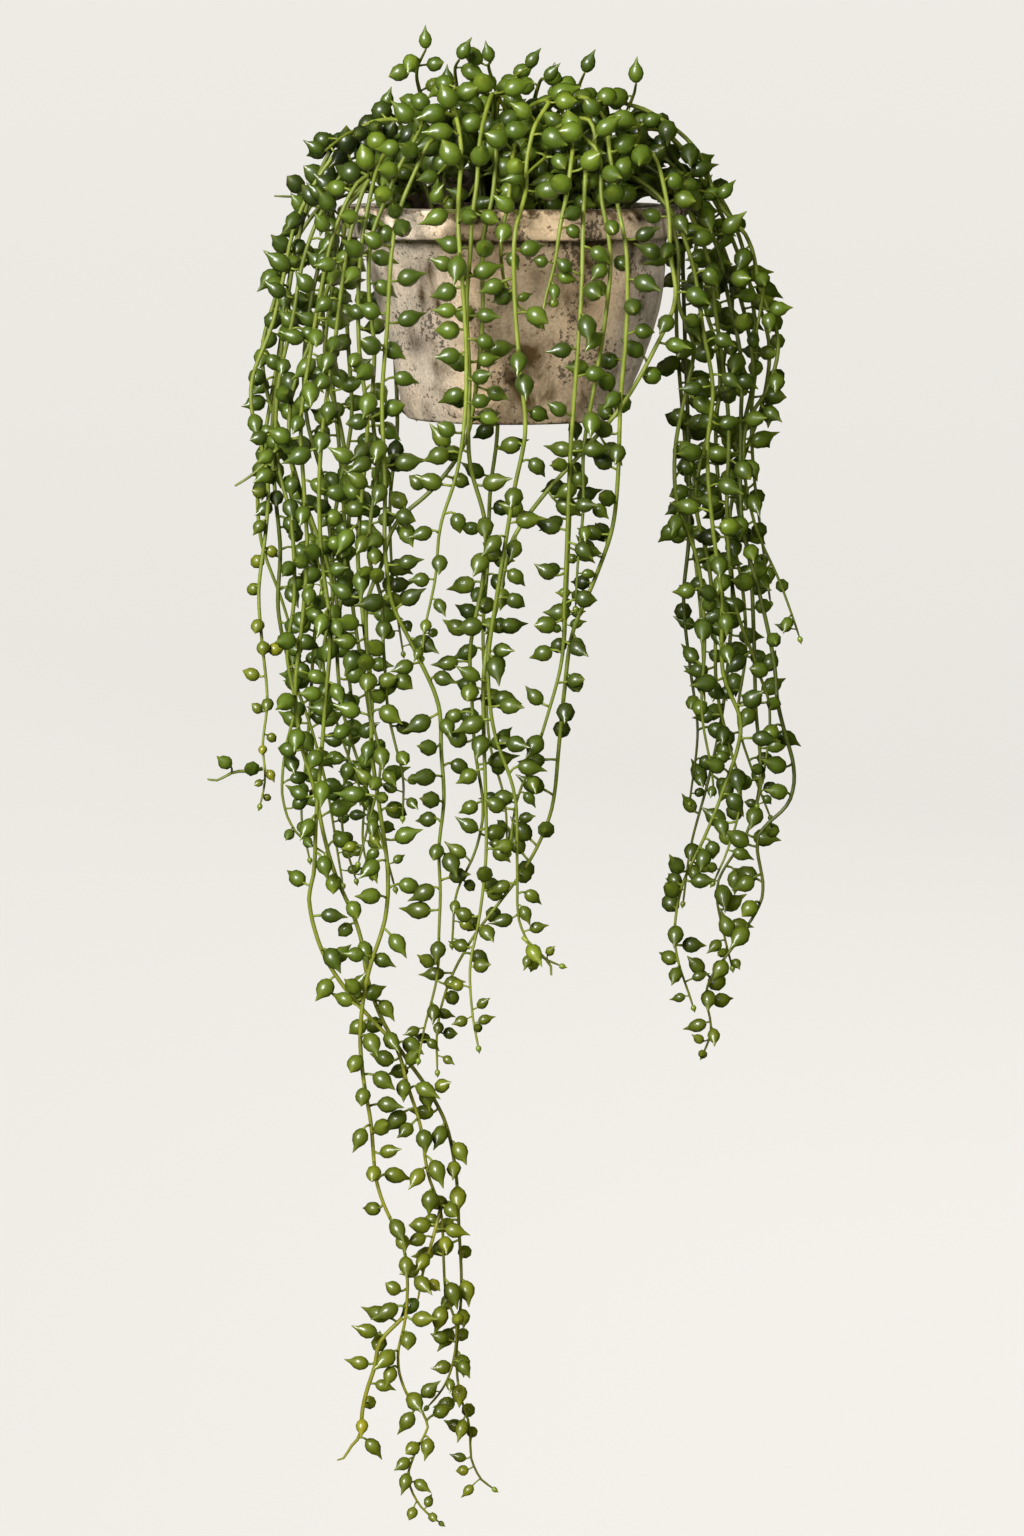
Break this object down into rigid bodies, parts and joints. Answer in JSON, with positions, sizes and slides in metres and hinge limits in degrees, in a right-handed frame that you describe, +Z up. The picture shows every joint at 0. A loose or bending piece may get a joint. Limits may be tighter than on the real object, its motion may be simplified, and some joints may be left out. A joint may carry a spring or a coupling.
{
  "type": "potted string of pearls",
  "caption": "Trailing succulent with round bead-like leaves in a hanging terracotta pot: it mounds over the rim and falls in long strands.",
  "frame": {"origin": "middle of the pot's flat foot", "axes": "+Z up along the pot's axis, -Y towards the best side, +X to the right as seen from that side; the stems hang below the foot"},
  "size_m": [0.2264, 0.1795, 0.575],
  "materials": {
    "terracotta": "unglazed fired clay, aged and blotched, matt",
    "soil": "dark crumbly potting mix with bark",
    "plant": "fleshy green leaf skin, satin, with a soft gloss"
  },
  "bodies": {
    "root": {"pot": "terracotta", "soil": "soil", "left_01": "plant", "left_02": "plant", "left_03": "plant", "left_04": "plant", "left_05": "plant", "left_06": "plant", "left_07": "plant", "left_08": "plant", "left_09": "plant", "left_10": "plant", "left_11": "plant", "left_12": "plant", "left_13": "plant", "front_01": "plant", "front_02": "plant", "front_03": "plant", "front_04": "plant", "front_05": "plant", "front_06": "plant", "front_07": "plant", "front_08": "plant", "front_09": "plant", "front_10": "plant", "front_11": "plant", "front_12": "plant", "right_01": "plant", "right_02": "plant", "right_03": "plant", "right_04": "plant", "right_05": "plant", "right_06": "plant", "right_07": "plant", "right_08": "plant", "right_09": "plant", "right_10": "plant", "right_11": "plant", "back_01": "plant", "back_02": "plant", "back_03": "plant", "back_04": "plant", "back_05": "plant", "back_06": "plant", "back_07": "plant", "mound_01": "plant", "mound_02": "plant", "mound_03": "plant", "mound_04": "plant", "mound_05": "plant", "mound_06": "plant", "mound_07": "plant", "mound_08": "plant", "mound_09": "plant", "mound_10": "plant", "mound_11": "plant", "mound_12": "plant", "mound_13": "plant", "mound_14": "plant"}
  },
  "joints": []
}
